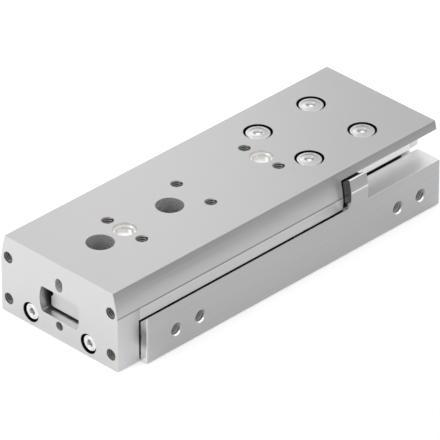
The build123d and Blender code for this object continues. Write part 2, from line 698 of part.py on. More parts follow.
# What each bore holds is turned about its axis: rod, piston, magnet, tail, bearing and plug
seat_radius = seat_diameter / 2 - fit
slide_radius = bore_diameter / 2 - running
rod_radius = rod_diameter / 2
hub_radius = slide_radius - magnet_wall - magnet_clearance
oring_groove_radius = seat_radius - oring_section - fit
for side, sign in sides:
    axis_line = Axis((0, sign * bore_spacing / 2, bore_height), (1, 0, 0))
    half_section = Plane(origin=axis_line.position, x_dir=(1, 0, 0), z_dir=(0, -1, 0))

    with BuildPart() as piston_rod:
        with BuildSketch(half_section):
            with Locations((piston_front_x, 0)):
                Rectangle(yoke_rear_x - piston_front_x, rod_radius, align=Align.MIN)
            with Locations((piston_front_x, 0)):
                Rectangle(piston_length - spigot_end_gap, spigot_diameter / 2, align=(Align.MAX, Align.MIN))
            with Locations((yoke_rear_x, 0)):
                Rectangle(m2_thread_depth, m2_diameter / 2 + fit, align=(Align.MAX, Align.MIN),
                          mode=Mode.SUBTRACT)
        revolve(axis=axis_line)
        chamfer(piston_rod.faces().sort_by(Axis.X)[-1].outer_wire().edges(), length=edge_break / 2)
    save(piston_rod.part, f"piston_rod_{side}")

    with BuildPart() as piston:
        with BuildSketch(half_section):
            with Locations((piston_front_x, 0)):
                Rectangle(piston_length - piston_tail_length - magnet_length, slide_radius,
                          align=(Align.MAX, Align.MIN))
            with Locations((piston_front_x, 0)):
                Rectangle(piston_length - piston_tail_length, hub_radius, align=(Align.MAX, Align.MIN))
            with Locations((piston_front_x, 0)):
                Rectangle(piston_length, spigot_diameter / 2 + fit, align=(Align.MAX, Align.MIN),
                          mode=Mode.SUBTRACT)
            with Locations((piston_front_x - piston_seal_setback, slide_radius)):
                Rectangle(piston_seal_width + 2 * fit, piston_seal_wall + fit, align=Align.MAX,
                          mode=Mode.SUBTRACT)
        revolve(axis=axis_line)
    save(piston.part, f"piston_{side}")

    with BuildPart() as magnet:
        with BuildSketch(half_section):
            with Locations((piston_rear_x + piston_tail_length, hub_radius + fit)):
                Rectangle(magnet_length, magnet_wall, align=Align.MIN)
        revolve(axis=axis_line)
    save(magnet.part, f"piston_magnet_{side}")

    with BuildPart() as piston_tail:
        with BuildSketch(half_section):
            with Locations((piston_rear_x, 0)):
                Rectangle(piston_tail_length, slide_radius, align=Align.MIN)
            with Locations((piston_rear_x + piston_tail_length, 0)):
                Rectangle(piston_tail_length - spigot_end_gap, spigot_diameter / 2 + fit,
                          align=(Align.MAX, Align.MIN), mode=Mode.SUBTRACT)
            with Locations((piston_rear_x + piston_seal_setback, slide_radius)):
                Rectangle(piston_seal_width + 2 * fit, piston_seal_wall + fit, align=(Align.MIN, Align.MAX),
                          mode=Mode.SUBTRACT)
        revolve(axis=axis_line)
    save(piston_tail.part, f"piston_tail_{side}")

    with BuildPart() as rod_bearing:
        with BuildSketch(half_section):
            with Locations((chamber_front_x, rod_radius + running)):
                Rectangle(bearing_length, seat_radius - rod_radius - running, align=Align.MIN)
            with Locations((chamber_front_x + bearing_length - rod_seal_setback, rod_radius)):
                Rectangle(rod_seal_length + 2 * fit, rod_seal_wall + running + fit,
                          align=(Align.MAX, Align.MIN), mode=Mode.SUBTRACT)
            with Locations((chamber_front_x + rod_seal_setback, seat_radius)):
                Rectangle(oring_groove_width, seat_radius - oring_groove_radius, align=(Align.MIN, Align.MAX),
                          mode=Mode.SUBTRACT)
        revolve(axis=axis_line)
    save(rod_bearing.part, f"rod_bearing_{side}")

    with BuildPart() as end_plug:
        with BuildSketch(half_section):
            with Locations((chamber_rear_x, 0)):
                Rectangle(end_plug_length, seat_radius, align=(Align.MAX, Align.MIN))
            with Locations((chamber_rear_x - end_plug_length / 2, seat_radius)):
                Rectangle(oring_groove_width, seat_radius - oring_groove_radius,
                          align=(Align.CENTER, Align.MAX), mode=Mode.SUBTRACT)
        revolve(axis=axis_line)
    save(end_plug.part, f"end_plug_{side}")

    bumper_axis = Axis((0, sign * bumper_spacing / 2, bumper_height), (1, 0, 0))
    with BuildPart() as bumper:
        with BuildSketch(Plane(origin=bumper_axis.position, x_dir=(1, 0, 0), z_dir=(0, -1, 0))):
            with Locations((housing_front_x - bumper_thickness, 0)):
                Rectangle(bumper_thickness + bumper_proud, bumper_diameter / 2 - fit, align=Align.MIN)
            with Locations((housing_front_x - bumper_thickness, 0)):
                Rectangle(bumper_stem_length - fit, bumper_stem_diameter / 2 - fit,
                          align=(Align.MAX, Align.MIN))
        revolve(axis=bumper_axis)
        fillet(bumper.faces().sort_by(Axis.X)[-1].edges(), radius=bumper_proud)
    save(bumper.part, f"bumper_{side}")

# Seals, buffers and clips, in pairs that share one node for each kind
with BuildPart() as piston_seals:
    for side, sign in sides:
        axis_line = Axis((0, sign * bore_spacing / 2, bore_height), (1, 0, 0))
        with BuildSketch(Plane(origin=axis_line.position, x_dir=(1, 0, 0), z_dir=(0, -1, 0))):
            with Locations((piston_front_x - piston_seal_setback - piston_seal_width - fit, slide_radius),
                           (piston_rear_x + piston_seal_setback + fit, slide_radius)):
                Rectangle(piston_seal_width, piston_seal_wall, align=(Align.MIN, Align.MAX))
        revolve(axis=axis_line)
save(piston_seals.part, "piston_seals")

with BuildPart() as piston_buffers:
    for side, sign in sides:
        axis_line = Axis((0, sign * bore_spacing / 2, bore_height), (1, 0, 0))
        with BuildSketch(Plane(origin=axis_line.position, x_dir=(1, 0, 0), z_dir=(0, -1, 0))):
            with Locations((piston_front_x, rod_radius + fit)):
                Rectangle(buffer_length, buffer_wall, align=Align.MIN)
            with Locations((piston_rear_x, 0)):
                Rectangle(buffer_length, rod_radius + buffer_wall, align=(Align.MAX, Align.MIN))
        revolve(axis=axis_line)
save(piston_buffers.part, "piston_buffers")

with BuildPart() as rod_seals:
    for side, sign in sides:
        axis_line = Axis((0, sign * bore_spacing / 2, bore_height), (1, 0, 0))
        seal_x = chamber_front_x + bearing_length - rod_seal_setback - fit
        with BuildSketch(Plane(origin=axis_line.position, x_dir=(1, 0, 0), z_dir=(0, -1, 0))):
            with Locations((seal_x, rod_radius + running)):
                Rectangle(rod_seal_length, rod_seal_wall, align=(Align.MAX, Align.MIN))
            with Locations((seal_x - rod_seal_length, rod_radius + running + rod_seal_wall / 2)):
                Rectangle(rod_seal_length, rod_seal_notch, mode=Mode.SUBTRACT)
        revolve(axis=axis_line)
save(rod_seals.part, "rod_seals")

with BuildPart() as orings:
    for side, sign in sides:
        axis_line = Axis((0, sign * bore_spacing / 2, bore_height), (1, 0, 0))
        with BuildSketch(Plane(origin=axis_line.position, x_dir=(1, 0, 0), z_dir=(0, -1, 0))):
            with Locations((chamber_front_x + rod_seal_setback + oring_groove_width / 2,
                            seat_radius - oring_section / 2),
                           (chamber_rear_x - end_plug_length / 2, seat_radius - oring_section / 2)):
                Circle(oring_section / 2)
        revolve(axis=axis_line)
save(orings.part, "orings")

clip_radius = seat_diameter / 2 + clip_groove_depth - fit
for end, clip_x in (("front", housing_front_x - clip_inset), ("rear", housing_rear_x + clip_zone)):
    with BuildPart() as clips:
        for side, sign in sides:
            with BuildSketch(Plane.YZ.offset(clip_x - fit)):
                with Locations((sign * bore_spacing / 2, bore_height)):
                    Circle(clip_radius)
                    Circle(clip_radius - clip_width, mode=Mode.SUBTRACT)
                with Locations((sign * bore_spacing / 2, bore_height + clip_radius)):
                    Rectangle(clip_opening, clip_radius, mode=Mode.SUBTRACT)
            extrude(amount=-clip_thickness + 2 * fit)
    save(clips.part, f"retaining_clips_{end}")
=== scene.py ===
# %% [markdown]
# # A small pneumatic slide table, dressed for its picture
#
# The solids come finished from the CAD side: a flat aluminium housing with two cylinder bores,
# a ball rail guide on top of it and an L-shaped table that runs on the guide. This lesson gives
# those solids the edges, screws, threads and metal finishes that the real slide has, and then
# lights and frames them. Everything is in metres, with +X the way the table advances.

# %% Load the solids
import json
import math

import bmesh
import bpy
from mathutils import Matrix, Vector


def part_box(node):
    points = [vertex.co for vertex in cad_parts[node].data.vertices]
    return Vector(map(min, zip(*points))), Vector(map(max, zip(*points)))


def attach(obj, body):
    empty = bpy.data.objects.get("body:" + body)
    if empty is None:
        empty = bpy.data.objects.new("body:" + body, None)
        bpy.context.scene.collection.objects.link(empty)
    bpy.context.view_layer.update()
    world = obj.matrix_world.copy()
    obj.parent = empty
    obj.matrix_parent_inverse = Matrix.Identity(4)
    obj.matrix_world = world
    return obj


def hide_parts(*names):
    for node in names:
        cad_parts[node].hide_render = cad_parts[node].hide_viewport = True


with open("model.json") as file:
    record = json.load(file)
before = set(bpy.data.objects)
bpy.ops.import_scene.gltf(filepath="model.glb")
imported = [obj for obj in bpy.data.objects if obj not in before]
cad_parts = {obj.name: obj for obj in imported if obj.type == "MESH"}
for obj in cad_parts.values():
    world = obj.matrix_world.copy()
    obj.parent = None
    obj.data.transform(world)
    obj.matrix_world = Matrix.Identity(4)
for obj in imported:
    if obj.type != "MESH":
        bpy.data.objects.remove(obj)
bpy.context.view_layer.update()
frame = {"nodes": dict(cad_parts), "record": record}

mm = 0.001
nodes = frame["nodes"]

# %% [markdown]
# ## Small helpers for node trees
#
# Each finish is one material with a Principled shader. A value that is the same everywhere is
# typed into the shader's own socket, so it survives an export. Only what changes over the
# surface, such as a tone or a scratch, reaches the shader through other nodes. Two helpers keep
# those trees short: one adds a node with its values, the other draws the links.


# %% Add a node, and link nodes
def add_node(tree, kind, values=(), **settings):
    """Add one node, set its properties by name and its inputs by socket name or number."""
    node = tree.nodes.new(kind)
    for key, value in settings.items():
        setattr(node, key, value)
    for key, value in dict(values).items():
        node.inputs[key].default_value = value
    return node


def wire(tree, *links):
    """Link nodes, with each link given as a node, its output, the next node and its input."""
    for source, output_name, target, input_name in links:
        tree.links.new(source.outputs[output_name], target.inputs[input_name])


# %% [markdown]
# ## One grain for every metal
#
# Blasted, brushed, milled and ground metal differ only in the shape of their grain: round specks
# or long thin lines. So one node group makes the grain from whatever coordinates it is given, and
# each material stretches those coordinates its own way. The group also adds a slow drift in tone,
# because no real surface is even from end to end.

# %% The grain group
grain_group = bpy.data.node_groups.new("Metal grain", "ShaderNodeTree")
for socket, kind in (("Vector", "NodeSocketVector"), ("Dark", "NodeSocketColor"),
                     ("Light", "NodeSocketColor"), ("Smooth", "NodeSocketFloat"),
                     ("Rough", "NodeSocketFloat")):
    grain_group.interface.new_socket(socket, in_out="INPUT", socket_type=kind)
for socket, kind in (("Color", "NodeSocketColor"), ("Roughness", "NodeSocketFloat"),
                     ("Height", "NodeSocketFloat")):
    grain_group.interface.new_socket(socket, in_out="OUTPUT", socket_type=kind)
given = grain_group.nodes.new("NodeGroupInput")
result = grain_group.nodes.new("NodeGroupOutput")
fine = add_node(grain_group, "ShaderNodeTexNoise", {"Scale": 1.0, "Detail": 3.0, "Roughness": 0.6})
place = grain_group.nodes.new("ShaderNodeTexCoord")
drift = add_node(grain_group, "ShaderNodeTexNoise",
                 {"Scale": 45.0, "Detail": 2.0, "Roughness": 0.5})
fine_mask, drift_mask = (
    add_node(grain_group, "ShaderNodeMapRange", {"From Min": 0.3, "From Max": 0.7})
    for _ in range(2))
both = add_node(grain_group, "ShaderNodeMix", {"Factor": 0.3}, data_type="FLOAT")
tone = add_node(grain_group, "ShaderNodeMix", data_type="RGBA")
gloss = grain_group.nodes.new("ShaderNodeMapRange")
wire(grain_group,
     (given, "Vector", fine, "Vector"), (fine, "Fac", fine_mask, "Value"),
     (place, "Object", drift, "Vector"), (drift, "Fac", drift_mask, "Value"),
     (fine_mask, "Result", both, "A"), (drift_mask, "Result", both, "B"),
     (both, "Result", tone, "Factor"), (given, "Dark", tone, "A"), (given, "Light", tone, "B"),
     (both, "Result", gloss, "Value"), (given, "Smooth", gloss, "To Min"),
     (given, "Rough", gloss, "To Max"), (tone, "Result", result, "Color"),
     (gloss, "Result", result, "Roughness"), (fine_mask, "Result", result, "Height"))
print("grain group:", len(grain_group.nodes), "nodes")


# %% A metal or moulded finish made with the grain
def grey(value, warmth=0.0):
    """A grey with its red raised and its blue lowered by warmth."""
    return (value + warmth, value, value - warmth)


def grained(name, tones, shine, stretch, depth, metallic=1.0):
    """Build a finish between two tones and between two roughnesses.

    A tone is a plain grey value or a colour. The grain has stretch cycles per metre along X, Y
    and Z, and is depth metres deep.
    """
    material = bpy.data.materials.new(name)
    material.use_nodes = True
    tree = material.node_tree
    shader = tree.nodes["Principled BSDF"]
    place = tree.nodes.new("ShaderNodeTexCoord")
    scale = add_node(tree, "ShaderNodeMapping", {"Scale": stretch})
    grain = add_node(tree, "ShaderNodeGroup", node_tree=grain_group)
    for socket, tone in zip(("Dark", "Light"), tones):
        colour = tone if isinstance(tone, tuple) else grey(tone)
        grain.inputs[socket].default_value = (*colour, 1)
    grain.inputs["Smooth"].default_value, grain.inputs["Rough"].default_value = shine
    shader.inputs["Metallic"].default_value = metallic
    shader.inputs["Roughness"].default_value = shine[1]
    bump = add_node(tree, "ShaderNodeBump", {"Strength": 1.0, "Distance": depth})
    wire(tree, (place, "Object", scale, "Vector"), (scale, "Vector", grain, "Vector"),
         (grain, "Color", shader, "Base Color"), (grain, "Roughness", shader, "Roughness"),
         (grain, "Height", bump, "Height"), (bump, "Normal", shader, "Normal"))
    return material


# %% [markdown]
# ## Painted shade and light along a face
#
# In the photograph some faces change their tone along their height or length, because they mirror
# more of their neighbours than our plain studio shows. A colour ramp along one axis of the piece
# paints that change in, as painted shade and painted light. It reads Object coordinates, so it
# stays on the metal wherever the camera stands.

# %% Put a colour mix between the grain and the shader
mix_a, mix_b, mix_result = 6, 7, 2  # the sockets of a Mix node that is set to colour


def mix_in(material, mixed, free_socket):
    """Send a finish's colour through one input of a mix node on its way to the shader."""
    links = material.node_tree.links
    colour_input = material.node_tree.nodes["Principled BSDF"].inputs["Base Color"]
    links.new(colour_input.links[0].from_socket, mixed.inputs[free_socket])
    links.new(mixed.outputs[mix_result], colour_input)


def toned(material, axis, *steps):
    """Multiply a finish's colour by values that change along an axis, given as (mm, value)."""
    tree = material.node_tree
    place = tree.nodes.new("ShaderNodeTexCoord")
    split = tree.nodes.new("ShaderNodeSeparateXYZ")
    low, high = steps[0][0], steps[-1][0]
    share = add_node(tree, "ShaderNodeMapRange", {"From Min": low * mm, "From Max": high * mm})
    ramp = tree.nodes.new("ShaderNodeValToRGB")
    marks = ramp.color_ramp.elements
    for number, (position, value) in enumerate(steps):
        mark = marks[number] if number < 2 else marks.new(1)
        mark.position = (position - low) / (high - low)
        mark.color = (value, value, value, 1)
    mixed = add_node(tree, "ShaderNodeMix", {"Factor": 1.0},
                     data_type="RGBA", blend_type="MULTIPLY")
    wire(tree, (place, "Object", split, "Vector"), (split, axis, share, "Value"),
         (share, "Result", ramp, "Fac"), (ramp, "Color", mixed, mix_b))
    mix_in(material, mixed, mix_a)


# %% [markdown]
# ## Dark faces that stay out of the mirrors
#
# A face painted dark as shade beside a polished one shows in it as a smear. The Light Path node
# tells the camera's own rays from all others, and to the others such a face can be a pale grey.


# %% A finish that is pale to all rays but the camera's
def pale_in_mirrors(material, value):
    """Show a finish as a pale grey to every ray but the camera's own."""
    tree = material.node_tree
    path = tree.nodes.new("ShaderNodeLightPath")
    mixed = add_node(tree, "ShaderNodeMix", {mix_a: (*grey(value), 1)}, data_type="RGBA")
    wire(tree, (path, "Is Camera Ray", mixed, 0))
    mix_in(material, mixed, mix_b)


# %% [markdown]
# ## The aluminium finishes
#
# The table's faces are finely blasted before they are anodised, so they look even and soft. Its
# flanks keep the long lines of the die that they were drawn through. The housing is cut from an
# extrusion and brushed along its length, and its ends are milled with strokes that run upwards.
# All of these are one grain with its own stretch, so the stretches are named first.

# %% Shapes of grain, in cycles per metre along X, Y and Z
specks, small_specks, thread_specks = (5200,) * 3, (4200,) * 3, (3000,) * 3
drawn_lines, brush_lines, plane_lines = (60, 3600, 3600), (45, 4200, 4200), (60, 3000, 3000)
mill_strokes, saw_strokes = (3600, 3600, 90), (3600, 3600, 60)
ground_lines, screw_specks = (40, 7000, 7000), (2600,) * 3
bore_rings, reamed_rings = (900, 900, 5200), (900, 900, 1200)
turned_rings, polished_rings = (6400, 240, 240), (9000, 300, 300)
magnet_specks, rubber_specks = (4800,) * 3, (3800,) * 3
print("blasted specks in mm:", round(1 / specks[0] / mm, 2), "drawn lines:",
      [round(1 / cycles / mm, 2) for cycles in drawn_lines])

# %% Finishes of the table
blasted = grained("blasted_aluminium", (0.50, 0.55), (0.40, 0.48), specks, 4e-6)
# Painted light: the yoke's faces take a lighter copy of the blasted finish.
yoke_painted_light = grained("yoke_aluminium_painted_light", (0.58, 0.64), (0.40, 0.48), specks, 4e-6)
# Painted shade: the window's walls darken towards the back of the window.
window_shade = grained("window_wall_painted_shade", (0.56, 0.62), (0.34, 0.42), specks, 2e-6)
toned(window_shade, "X", (43.2, 0.15), (44.4, 0.40), (45.1, 1.05), (46.4, 1.20))
drawn = grained("drawn_aluminium", (0.54, 0.60), (0.28, 0.36), drawn_lines, 3e-7)
# Painted light: walls below the flanks and wing undersides take a lighter copy of the drawn finish.
walls_painted_light = grained("wall_aluminium_painted_light", (0.79, 0.85), (0.46, 0.54), drawn_lines, 3e-7)
# Painted shade: a dark line in the crease where each flank meets its wall.
crease_shade = grained("painted_crease_shade", (0.26, 0.32), (0.34, 0.42), drawn_lines, 1e-6)
print("table's finishes:", [item.name for item in (blasted, yoke_painted_light, window_shade, drawn, walls_painted_light)])

# %% Finishes of the housing
brushed = grained("brushed_aluminium", (0.54, 0.62), (0.30, 0.40), brush_lines, 1e-6)
# Painted light: the sides are lighter near the floor and again on the stops above 13.5 mm.
toned(brushed, "Z", (0, 0.94), (4.5, 0.87), (9.5, 0.84), (13.5, 0.84), (15, 0.98))
# Painted light on the front end, with a band of painted shade across its middle.
front_lit_and_shaded = grained("front_face_painted_light_and_shade", (0.90, 0.98), (0.16, 0.28), mill_strokes, 1e-6)
toned(front_lit_and_shaded, "Z", (0, 1), (3.0, 1), (4.6, 0.46), (7.2, 0.34), (9.5, 0.66))
milled = grained("milled_aluminium", (0.45, 0.80), (0.12, 0.24), mill_strokes, 2e-6)
planed = grained("planed_aluminium", (0.92, 0.97), (0.30, 0.38), plane_lines, 5e-7)
lapped = grained("lip_aluminium", (0.92, 0.97), (0.16, 0.24), plane_lines, 5e-7)
# Painted shade: the deck under the carriage is a darker copy of the planed finish.
deck_shade = grained("deck_painted_shade", (0.44, 0.52), (0.34, 0.44), plane_lines, 1e-6)
# Painted highlight: the light line along each shoulder, and the spot on a socket's floor.
painted_glint = grained("painted_edge_highlight", (0.93, 0.97), (0.40, 0.50), plane_lines, 5e-7, metallic=0.3)
# Painted shade: the stops' faces are dark, and their strokes are the grain.
sawn_shade = grained("stop_face_painted_shade", (0.05, 0.26), (0.20, 0.34), saw_strokes, 3e-6)
# Painted shade: the stops' crests are near black.
crest_shade = grained("crest_painted_shade", (0.02, 0.06), (0.34, 0.5), thread_specks, 1e-6)
for dark_face in (sawn_shade, crest_shade):
    pale_in_mirrors(dark_face, 0.5)
print("housing's finishes:", [item.name for item in (brushed, front_lit_and_shaded, milled, planed, lapped)])

# %% Finishes of holes, threads and pistons
bored = grained("bored_aluminium", (grey(0.72, 0.012), grey(0.78, 0.012)), (0.26, 0.34),
                bore_rings, 2e-7)
reamed = grained("reamed_aluminium", (grey(0.62, 0.003), grey(0.68, 0.003)), (0.24, 0.32),
                 reamed_rings, 1e-7, metallic=0.65)
turned = grained("turned_aluminium", (0.60, 0.74), (0.18, 0.30), turned_rings, 2e-6)
# Painted shade: the walls of threads, ports and the dowel hole are darker than the metal.
tapped = grained("tapped_thread", (grey(0.15, 0.012), grey(0.28, 0.016)), (0.34, 0.5),
                 thread_specks, 1e-6)
ported = grained("port_thread", (0.34, 0.44), (0.34, 0.5), thread_specks, 1e-6, metallic=0.6)
# Painted shade: counterbore walls and the table walls' feet are near black.
shaded = grained("painted_gap_shade", (0.02, 0.06), (0.34, 0.5), thread_specks, 1e-6)
print("finishes so far:", len(bpy.data.materials))

# %% [markdown]
# ## Steel, bronze, plastic and rubber
#
# The rail and the carriage are ground along their length, the rods are polished, and the screws
# come with a fine even shine. The bearings are sintered bronze, which is speckled all through.
# The carriage's foot is in the dark of the deck, so painted shade drops its colour there within a
# tenth of a millimetre, and the rail's top is darker than its end.

# %% The other finishes
ground = grained("ground_steel", (0.74, 0.81), (0.20, 0.30), ground_lines, 1e-6)
# Painted shade: the carriage turns near black below its flange, in the dark of the deck.
toned(ground, "Z", (11.40, 0.02), (11.50, 1))
rail_finish = grained("rail_steel", (0.55, 0.62), (0.30, 0.38), ground_lines, 1e-6)
toned(rail_finish, "Z", (10.55, 1), (10.65, 0.66))
bright = grained("bright_screw_steel", (0.74, 0.82), (0.16, 0.24), screw_specks, 2e-7)
# Painted shade: the table's screws take a darker copy of the screw steel.
satin_shaded = grained("satin_screw_steel_painted_shade", (0.56, 0.63), (0.24, 0.34), screw_specks, 2e-7)
# Painted shade: the dish and walls of the screws' sockets are darker than their heads.
socket_painted_shade = grained("socket_painted_shade", (0.44, 0.54), (0.24, 0.34), screw_specks, 5e-7)
polished = grained("polished_rod_steel", (0.78, 0.84), (0.05, 0.10), polished_rings, 3e-7)
ball_finish = grained("ball_steel", (0.80, 0.86), (0.04, 0.08), screw_specks, 1e-7)
sprung = grained("spring_steel", (0.16, 0.24), (0.28, 0.42), small_specks, 1e-6)
bronze = grained("sintered_bronze", ((0.42, 0.27, 0.13), (0.62, 0.44, 0.24)), (0.34, 0.5),
                 specks, 2e-6)
magnetic = grained("bonded_magnet", (0.06, 0.11), (0.45, 0.6), magnet_specks, 2e-6, metallic=0.3)
moulded = grained("moulded_plastic", (0.90, 0.95), (0.42, 0.55), small_specks, 3e-6, metallic=0.0)
rubber = grained("black_rubber", (0.010, 0.022), (0.55, 0.75), rubber_specks, 4e-6, metallic=0.0)
print("finishes:", len(bpy.data.materials))

# %% [markdown]
# ## Nodes that keep their CAD shape
#
# Most inner pieces already have the right shape, so they only need their finish. The mesh of a
# CAD node stays as it is: the material goes into the slot of its object.

# %% Give each CAD node its finish
finish_of = {
    "guide_rail": rail_finish, "guide_carriage": ground,
    "end_cap_front": moulded, "end_cap_rear": moulded,
    "end_seal_front": rubber, "end_seal_rear": rubber,
    "ball_circuit_left": ball_finish, "ball_circuit_right": ball_finish,
    "piston_rod_left": polished, "piston_rod_right": polished,
    "piston_left": turned, "piston_right": turned,
    "piston_tail_left": turned, "piston_tail_right": turned,
    "piston_magnet_left": magnetic, "piston_magnet_right": magnetic,
    "rod_bearing_left": bronze, "rod_bearing_right": bronze,
    "end_plug_left": turned, "end_plug_right": turned,
    "bumper_left": rubber, "bumper_right": rubber,
    "piston_seals": rubber, "piston_buffers": rubber, "rod_seals": rubber, "orings": rubber,
    "retaining_clips_front": sprung, "retaining_clips_rear": sprung,
}
for name, finish in finish_of.items():
    nodes[name].data.materials.clear()
    nodes[name].data.materials.append(finish)
print("finished CAD nodes:", len(finish_of))

# %% [markdown]
# ## Machined bodies with broken edges
#
# A solid from CAD has edges with no width, and such an edge never catches the light. A machinist
# breaks each one by about a tenth of a millimetre. So the table and the housing are shown as
# copies of their solids: the copy's loose triangles are merged, its flat faces joined again, and
# every sharp edge gets a narrow bevel. The bevel tool needs the joined faces, because it would
# otherwise trip over the triangles' own edges.

# %% A copy with bevelled edges
edge_break = 0.08 * mm
weld = 0.001 * mm
flat_angle, sharp_angle, crease_angle = (math.radians(turn) for turn in (0.6, 12, 40))


def on_line(edge, faint):
    """Tell whether an edge lies at the distance from the middle and the height in faint."""
    return all(math.hypot(abs(vert.co.y) - faint[0], vert.co.z - faint[1]) < 0.02 * mm
               for vert in edge.verts)


def is_sharp(edge, left_sharp):
    """Tell whether an edge is to be broken, which none within reach of left_sharp spots is."""
    middle = (edge.verts[0].co + edge.verts[1].co) / 2
    return edge.calc_face_angle() > sharp_angle and not any(
        (Vector(spot) - middle).length < reach for spot, reach in left_sharp)


def machined_copy(node_name, piece_name, body, faint, left_sharp=(), cut_x=None):
    """Show a CAD node as a copy with its edges broken.

    The lengthwise edges on the faint line are broken too, and twice as wide, however flat their
    angle is. Faces are split where they cross cut_x, so that each part can have its own finish.
    """
    bm = bmesh.new()
    bm.from_mesh(nodes[node_name].data)
    bmesh.ops.remove_doubles(bm, verts=bm.verts, dist=weld)
    bmesh.ops.dissolve_limit(bm, angle_limit=flat_angle, verts=bm.verts, edges=bm.edges,
                             use_dissolve_boundaries=False)
    for width, wanted in ((2 * edge_break, lambda edge: on_line(edge, faint)),
                          (edge_break, lambda edge: is_sharp(edge, left_sharp))):
        chosen = [edge for edge in bm.edges if wanted(edge)]
        bmesh.ops.bevel(bm, geom=chosen, offset=width, offset_type="OFFSET", segments=2,
                        profile=0.5, affect="EDGES", material=-1, clamp_overlap=False)
    if cut_x is not None:
        bmesh.ops.bisect_plane(bm, geom=[*bm.verts, *bm.edges, *bm.faces], dist=weld,
                               plane_co=(cut_x, 0, 0), plane_no=(1, 0, 0))
    for face in bm.faces:
        face.smooth = True
    mesh = bpy.data.meshes.new(piece_name)
    bm.to_mesh(mesh)
    print(piece_name, "broken edges:", len(chosen), "faces:", len(bm.faces))
    bm.free()
    mesh.set_sharp_from_angle(angle=crease_angle)
    piece = bpy.data.objects.new(piece_name, mesh)
    bpy.context.scene.collection.objects.link(piece)
    weighted = piece.modifiers.new("Even shading", "WEIGHTED_NORMAL")
    weighted.keep_sharp = True
    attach(piece, body)
    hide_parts(node_name)
    return piece


# %% [markdown]
# ## Paint by hole and by direction
#
# Each hole was cut with its own tool, and its wall shows it. A face belongs to a hole when it lies
# close to the hole's axis and below the mouth, so a short list of holes is enough to paint all the
# walls. What is in no hole gets its finish from the way it faces.

# %% Paint faces by the hole that they are in
wall_slack, mouth_slack, deepest_wall = 0.03 * mm, 0.09 * mm, 7 * mm


def in_hole(centre, hole):
    """Tell whether a point lies inside a hole, given as mouth, axis, radius, chamfer and finish."""
    mouth, axis, radius, chamfer, _ = hole
    away = centre - mouth
    depth = -away.dot(axis)
    aside = (away + axis * depth).length
    return aside < radius + wall_slack and chamfer + mouth_slack < depth < deepest_wall


def paint(piece, holes, choose):
    """Give each face the finish of its hole, or else the one that choose returns for it."""
    finishes = []
    for face in piece.data.polygons:
        inside = [hole[4] for hole in holes if in_hole(face.center, hole)]
        finish = inside[0] if inside else choose(face.center, face.normal)
        if finish not in finishes:
            finishes.append(finish)
            piece.data.materials.append(finish)
        face.material_index = finishes.index(finish)
    print(piece.name, "finishes:", [finish.name for finish in finishes])


# %% [markdown]
# ## Where the holes are
#
# The record that comes with the solids states each hole pattern by its middle, its axis and its
# spacings. Reading the places from there keeps the threads and finishes in their holes. A screw
# node holds several loose solids, so their places are found by walking from vertex to vertex.

# %% Places that the record gives for a pattern of holes
mounts = {mount["name"]: mount for mount in frame["record"]["mounts"]}


def hole_places(name):
    """Return the mouth of each hole of a mount, and the axis that points out of it."""
    mount = mounts[name]
    axis, middle, sizes = Vector(mount["axis"]), Vector(mount["pos_m"]), mount["dims"]
    if "count" not in sizes:
        return [(middle + axis * sizes["length_mm"] / 2 * mm, axis)]
    units = (Vector(unit) for unit in ((1, 0, 0), (0, 1, 0), (0, 0, 1)))
    across = [unit for unit in units if abs(axis.dot(unit)) < 0.5]
    half_x, half_y = (sizes.get(key, 0) * mm / 2 for key in ("spacing_x_mm", "spacing_y_mm"))
    places = {tuple(middle + across[0] * half_x * a + across[1] * half_y * b)
              for a in (-1, 1) for b in (-1, 1)}
    return [(Vector(place), axis) for place in sorted(places)]


def holes_of(names, radius, chamfer, finish):
    """List the holes of several mounts with the finish of their walls."""
    return [(mouth, axis, radius * mm, chamfer * mm, finish)
            for name in names for mouth, axis in hole_places(name)]


print("mounts:", len(mounts), "thread places:", len(hole_places("table_threads")))


# %% Places of the separate solids in a node
def solids_of(node_name):
    """Return the lowest and highest corner of each separate solid in a CAD node."""
    bm = bmesh.new()
    bm.from_mesh(nodes[node_name].data)
    bmesh.ops.remove_doubles(bm, verts=bm.verts, dist=weld)
    left, found = set(bm.verts), []
    while left:
        waiting = [left.pop()]
        group = list(waiting)
        while waiting:
            vert = waiting.pop()
            for other in [edge.other_vert(vert) for edge in vert.link_edges]:
                if other in left:
                    left.discard(other)
                    group.append(other)
                    waiting.append(other)
        found.append(tuple(Vector([pick(vert.co[i] for vert in group) for i in range(3)])
                           for pick in (min, max)))
    bm.free()
    return found


def middles_of(node_name):
    """Return the middle of each separate solid in a CAD node."""
    return [(low + high) / 2 for low, high in solids_of(node_name)]


print("screws in the table:", len(middles_of("table_screws")))

# %% [markdown]
# ## The table
#
# The table and its yoke are milled from one block. The flanks lean inwards and keep their drawn
# skin. The walls below them and the yoke's faces carry lighter copies of the table's finishes as
# painted light, and a fine line of painted shade marks the crease where flank and wall meet. That
# line is a faint edge in the solid, so it is bevelled wider than the others to carry the painted
# shade. The feet of the walls and the screws' counterbores are painted black as shade.

